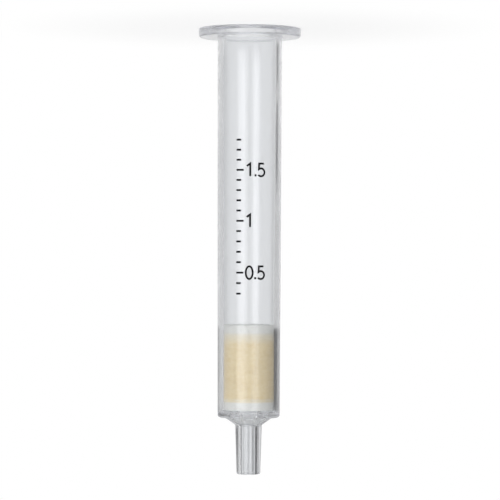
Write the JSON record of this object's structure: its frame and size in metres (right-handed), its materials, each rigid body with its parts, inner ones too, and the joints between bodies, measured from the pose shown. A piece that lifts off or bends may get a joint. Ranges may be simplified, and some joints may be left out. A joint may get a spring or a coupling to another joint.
{
  "type": "solid phase extraction cartridge",
  "caption": "Clear flanged column with a luer outlet, holding a bed of sorbent between porous frits.",
  "frame": {"origin": "centre of the flange's flat face, which the cartridge stands on", "axes": "+Z along the barrel's axis, from the open mouth towards the luer outlet"},
  "size_m": [0.0172, 0.0172, 0.0747],
  "materials": {
    "clear_polypropylene": "moulded, clear with a faint milky haze",
    "porous_frit": "sintered, porous",
    "sorbent": "packed fine powder"
  },
  "bodies": {
    "root": {"barrel": "clear_polypropylene", "lower_frit": "porous_frit", "sorbent_bed": "sorbent", "upper_frit": "porous_frit"}
  },
  "joints": []
}
